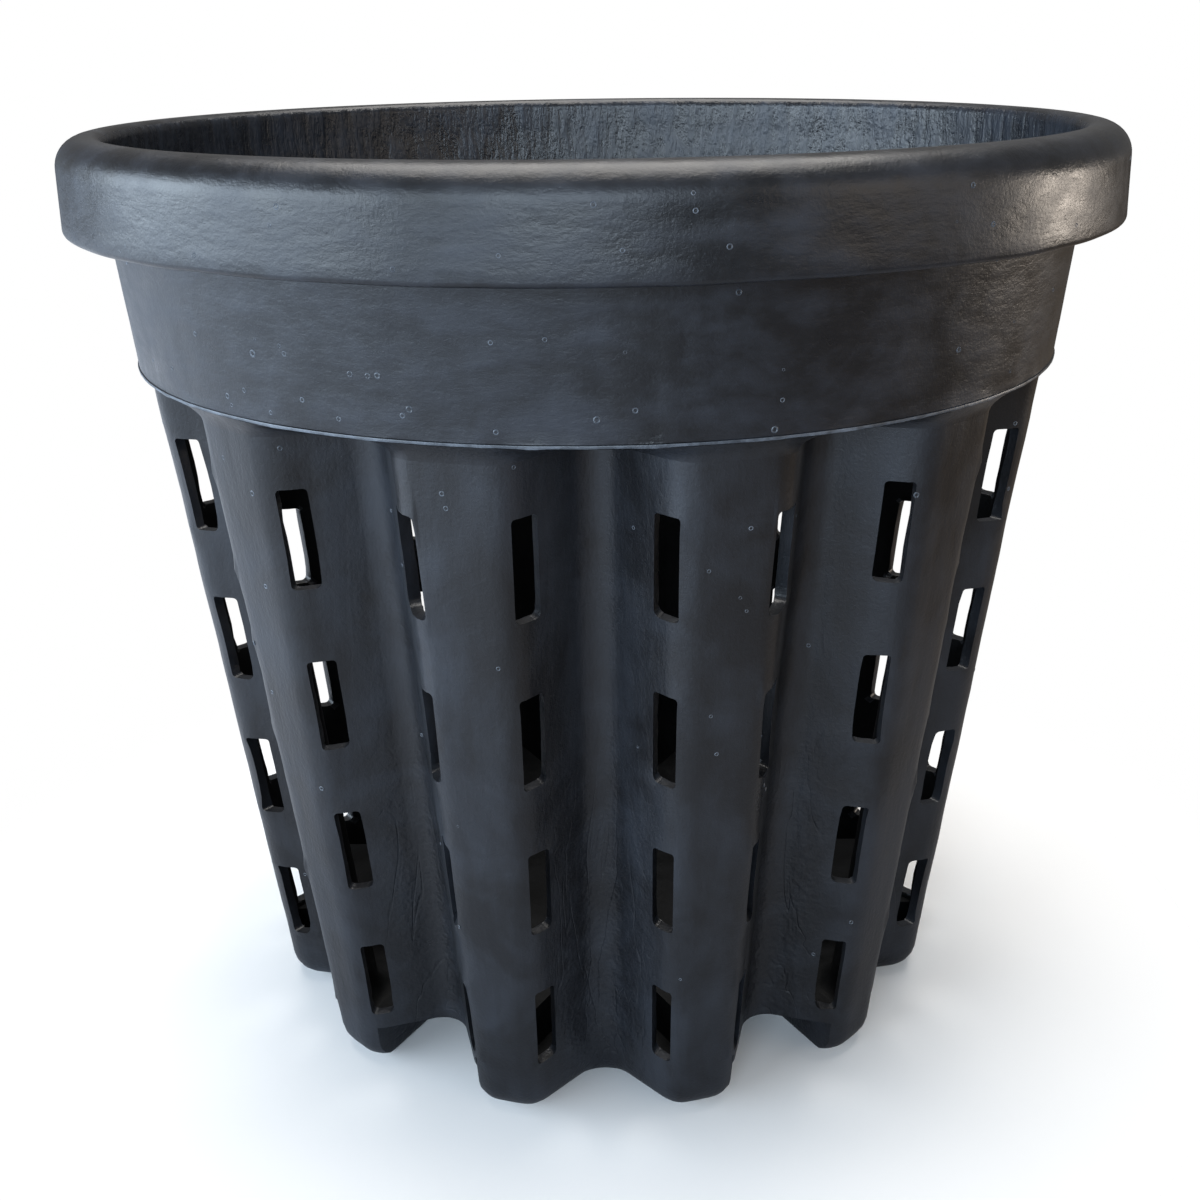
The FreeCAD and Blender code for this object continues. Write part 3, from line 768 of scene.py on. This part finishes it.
def makeFoot(bm, number):
    turns = [math.radians(angle) for angle in foot["roundTurns"]]
    rounding = lobes["footRound"]
    thin = rounding - lobes["wall"]
    floor = foot["floor"]
    outerRows = [(rounding * (1 - math.cos(turn)), rounding * (1 - math.sin(turn))) for turn in turns]
    innerRows = [(floor + thin * (1 - math.cos(turn)), lobes["wall"] + thin * (1 - math.sin(turn))) for turn in turns]
    for height in (*foot["wallHeights"], lobes["bottom"]):
        outerRows.append((height, 0))
        innerRows.append((height, lobes["wall"]))
    edgeRound = foot["channelEdgeRound"]
    outer = [footLoop(number, height, inset, lobes["channelHalf"] + roundInset(height, edgeRound))
             for height, inset in outerRows]
    inner = [footLoop(number, height, inset, lobes["channelHalf"] + lobes["wall"]) for height, inset in innerRows]
    cup = bmesh.new()
    columnLayer = cup.verts.layers.int.new("column")
    rowLayer = cup.verts.layers.int.new("row")
    grownRings(cup, outer, columnLayer, rowLayer)
    rimEdges = [edge for edge in cup.edges if all(vert[rowLayer] == 0 for vert in edge.verts)]
    drain = turnedPoint(0, foot["drainDistance"], 0, number * 2 * math.pi / footCount)
    hole = bmesh.ops.create_circle(cup, segments=foot["drainSteps"], radius=foot["drainRadius"] * mm,
                                   matrix=Matrix.Translation(drain))["verts"]
    for vert in hole:
        vert[rowLayer] = -1
    holeEdges = list(set(edge for vert in hole for edge in vert.link_edges))
    bmesh.ops.triangle_fill(cup, edges=rimEdges + holeEdges, use_beauty=True, use_dissolve=False)
    bmesh.ops.recalc_face_normals(cup, faces=cup.faces[:])
    sample = max(cup.faces, key=lambda face: face.calc_center_median().xy.length)
    if sample.normal.dot(sample.calc_center_median() * Vector((1, 1, 0))) < 0:
        bmesh.ops.reverse_faces(cup, faces=cup.faces[:])
    made = bmesh.ops.solidify(cup, geom=cup.faces[:], thickness=lobes["wall"] * mm)["geom"]
    for vert in made:
        if isinstance(vert, bmesh.types.BMVert):
            if vert[rowLayer] < 0:
                vert.co = Vector((vert.co.x, vert.co.y, floor * mm))
            else:
                vert.co = inner[vert[rowLayer]][vert[columnLayer]]
        elif isinstance(vert, bmesh.types.BMFace):
            # the cup's inside takes the darker copy of the plastic: painted shade
            vert.material_index = 1
    mesh = bpy.data.meshes.new("cup")
    cup.to_mesh(mesh)
    cup.free()
    bm.from_mesh(mesh)
    bpy.data.meshes.remove(mesh)


def makeFeet():
    bm = bmesh.new()
    for number in range(footCount):
        makeFoot(bm, number)
    return newPiece("feet", bm, [wallPlastic, paintedShadePlastic])


feet = makeFeet()
takePlace(feet, *[f"foot_{index:02d}" for index in range(1, footCount + 1)])
print("feet made", len(feet.data.polygons))


# The floor over the air channels is a star that also covers the tops of the feet's straight walls.
floorStar = {"top": 8.84, "bottom": 7.0, "armHalf": 10.65, "drain": 6.0, "drainSteps": 48,
             "armSteps": 5, "wallOverlap": 0.15}


def makeFloor():
    outline = []
    reach = halfLobe(lobes["bottom"], lobes["wall"] - floorStar["wallOverlap"], floorStar["armHalf"])
    for number in range(footCount):
        first, second = 2 * number, 2 * number + 1
        for station in range(slotNear, lastStation):
            across, out = reach[station]
            outline.append(turnedPoint(across, out, floorStar["top"], lobeAxis(first)))
        for station in range(lastStation, slotNear - 1, -1):
            across, out = reach[station]
            outline.append(turnedPoint(-across, out, floorStar["top"], lobeAxis(second)))
        tip = turnedPoint(0, floorStar["armHalf"] * 2, floorStar["top"], (number + 1) * 2 * math.pi / footCount)
        start = outline[-1]
        count = floorStar["armSteps"]
        outline += [start.lerp(tip, (index + 1) / count) for index in range(count)]
        across, out = reach[slotNear]
        back = turnedPoint(across, out, floorStar["top"], lobeAxis((first + 2) % lobes["count"]))
        outline += [tip.lerp(back, (index + 1) / count) for index in range(count - 1)]
    bm = bmesh.new()
    bmesh.ops.create_circle(bm, segments=len(outline), radius=1)
    bm.verts.ensure_lookup_table()
    for vert, point in zip(bm.verts, outline):
        vert.co = point
    bmesh.ops.create_circle(bm, segments=floorStar["drainSteps"], radius=floorStar["drain"] * mm,
                            matrix=Matrix.Translation((0, 0, floorStar["top"] * mm)))
    bmesh.ops.triangle_fill(bm, edges=bm.edges[:], use_beauty=True, use_dissolve=False)
    bmesh.ops.recalc_face_normals(bm, faces=bm.faces[:])
    if bm.faces[:][0].normal.z < 0:
        bmesh.ops.reverse_faces(bm, faces=bm.faces[:])
    bmesh.ops.solidify(bm, geom=bm.faces[:], thickness=(floorStar["top"] - floorStar["bottom"]) * mm)
    # the floor takes the darker copy of the plastic: painted shade
    return newPiece("floor_star", bm, [paintedShadePlastic])


floorPiece = makeFloor()
takePlace(floorPiece, "floor_web")
print("floor made")


# The camera was solved from the photograph: places in mm, roll in degrees.
camera = {"place": (1.283, -229.632, 147.072), "aim": (0.04, 0, 59.84), "lens": 45.16, "roll": -0.807}
cameraData = bpy.data.cameras.new("camera")
cameraData.lens = camera["lens"]
cameraData.sensor_width = 36
cameraData.sensor_fit = "HORIZONTAL"
cameraData.clip_start = 0.01
cameraObject = bpy.data.objects.new("camera", cameraData)
bpy.context.scene.collection.objects.link(cameraObject)
sight = (Vector(camera["aim"]) - Vector(camera["place"])).to_track_quat("-Z", "Y").to_matrix().to_4x4()
roll = Matrix.Rotation(math.radians(camera["roll"]), 4, "Z")
cameraObject.matrix_world = Matrix.Translation(Vector(camera["place"]) * mm) @ sight @ roll
bpy.context.scene.camera = cameraObject

# Lamps: places and sizes in metres, power in watts.
lamps = {
    "window": {"place": (-1.0, -0.28, 0.28), "size": (1.5, 0.5), "power": 20.0, "colour": (0.72, 0.86, 1.0)},
    "front": {"place": (-0.14, -1.0, 0.35), "size": (0.6, 0.5), "power": 7.6, "colour": (0.72, 0.86, 1.0)},
    "above": {"place": (0.0, 0.15, 0.8), "size": (0.7, 0.7), "power": 8.0, "colour": (1.0, 0.97, 0.93)},
    "fill": {"place": (0.7, -0.5, 0.3), "size": (0.5, 0.5), "power": 1.2, "colour": (1.0, 0.86, 0.72)},
    "edge": {"place": (0.95, 0.22, 0.07), "size": (0.3, 0.1), "power": 1.7, "colour": (1.0, 0.88, 0.76)},
}
lampAim = Vector((0, 0, 0.07))
for name, lamp in lamps.items():
    light = bpy.data.lights.new(name, "AREA")
    light.shape = "RECTANGLE"
    light.size, light.size_y = lamp["size"]
    light.energy = lamp["power"]
    light.color = lamp["colour"]
    lightObject = bpy.data.objects.new(name, light)
    bpy.context.scene.collection.objects.link(lightObject)
    toPot = lampAim - Vector(lamp["place"])
    lightObject.matrix_world = Matrix.Translation(lamp["place"]) @ toPot.to_track_quat("-Z", "Y").to_matrix().to_4x4()

world = bpy.data.worlds.new("studio")
bpy.context.scene.world = world
world.use_nodes = True
tree = world.node_tree
tree.nodes.clear()
rays = addNode(tree, "ShaderNodeLightPath")
seen = addNode(tree, "ShaderNodeMath", {"operation": "MAXIMUM"},
               {"0": rays.outputs["Is Camera Ray"], "1": rays.outputs["Is Transmission Ray"]}).outputs[0]
room = addNode(tree, "ShaderNodeBackground", {"in:Color": (1.0, 0.98, 0.96, 1), "in:Strength": 0.17})
backdrop = addNode(tree, "ShaderNodeBackground", {"in:Color": (1, 1, 1, 1), "in:Strength": 1.0})
both = addNode(tree, "ShaderNodeMixShader", {}, {"0": seen, "1": room.outputs[0], "2": backdrop.outputs[0]})
addNode(tree, "ShaderNodeOutputWorld", {}, {"Surface": both.outputs[0]})

# The ground in metres: it fades out between two distances from the pot's axis, and for the pot's reflections it
# carries painted light, lit on the left and in painted shade on the right.
groundSet = {"half": 3.0, "drop": 0.0002, "fade": (0.055, 0.125), "paintedShadeSpan": (-0.25, 0.2),
             "seen": "#fbfbfb", "left": "#dfe6f2", "right": "#6a5f54"}
groundMaterial = bpy.data.materials.new("pale_ground")
groundMaterial.use_nodes = True
tree = groundMaterial.node_tree
tree.nodes.clear()
# the eye sees a pale ground that fades into the white backdrop; the pot mirrors a ground with painted light, lit on
# the left and in painted shade on the right
rays = addNode(tree, "ShaderNodeLightPath")
spot = addNode(tree, "ShaderNodeTexCoord").outputs["Object"]
fromPot = addNode(tree, "ShaderNodeVectorMath", {"operation": "LENGTH"}, {"0": spot}).outputs["Value"]
fade = addNode(tree, "ShaderNodeMapRange",
               {"interpolation_type": "SMOOTHSTEP", "in:From Min": groundSet["fade"][0],
                "in:From Max": groundSet["fade"][1]}, {"Value": fromPot}).outputs[0]
fromBelow = addNode(tree, "ShaderNodeNewGeometry").outputs["Backfacing"]
gone = addNode(tree, "ShaderNodeMath", {"operation": "MAXIMUM"}, {"0": fade, "1": fromBelow}).outputs[0]
unseen = addNode(tree, "ShaderNodeMath", {"operation": "MULTIPLY"},
                 {"0": gone, "1": rays.outputs["Is Camera Ray"]}).outputs[0]
# painted light: the ground's colour for the pot's reflections runs from lit on the left to painted shade on the right
sideways = addNode(tree, "ShaderNodeSeparateXYZ", {}, {"0": spot}).outputs[0]
paintedShadeToRight = addNode(tree, "ShaderNodeMapRange",
                  {"in:From Min": groundSet["paintedShadeSpan"][0], "in:From Max": groundSet["paintedShadeSpan"][1]},
                  {"Value": sideways}).outputs[0]
paintedLightFloor = addNode(tree, "ShaderNodeMix",
                {"data_type": "RGBA", "in:6": srgb(groundSet["left"]), "in:7": srgb(groundSet["right"])},
                {"0": paintedShadeToRight}).outputs[2]
tint = addNode(tree, "ShaderNodeMix", {"data_type": "RGBA", "in:7": srgb(groundSet["seen"])},
               {"0": rays.outputs["Is Camera Ray"], "6": paintedLightFloor}).outputs[2]
matt = addNode(tree, "ShaderNodeBsdfDiffuse", {}, {"Color": tint})
clear = addNode(tree, "ShaderNodeBsdfTransparent")
groundLook = addNode(tree, "ShaderNodeMixShader", {}, {"0": unseen, "1": matt.outputs[0], "2": clear.outputs[0]})
addNode(tree, "ShaderNodeOutputMaterial", {}, {"Surface": groundLook.outputs[0]})
groundMesh = bmesh.new()
bmesh.ops.create_grid(groundMesh, x_segments=1, y_segments=1, size=groundSet["half"])
bmesh.ops.translate(groundMesh, verts=groundMesh.verts[:], vec=(0, 0, -groundSet["drop"]))
groundData = bpy.data.meshes.new("ground")
groundMesh.to_mesh(groundData)
groundMesh.free()
ground = bpy.data.objects.new("ground", groundData)
bpy.context.scene.collection.objects.link(ground)
groundData.materials.append(groundMaterial)
bpy.context.scene.view_settings.view_transform = "Standard"
print("stage set")
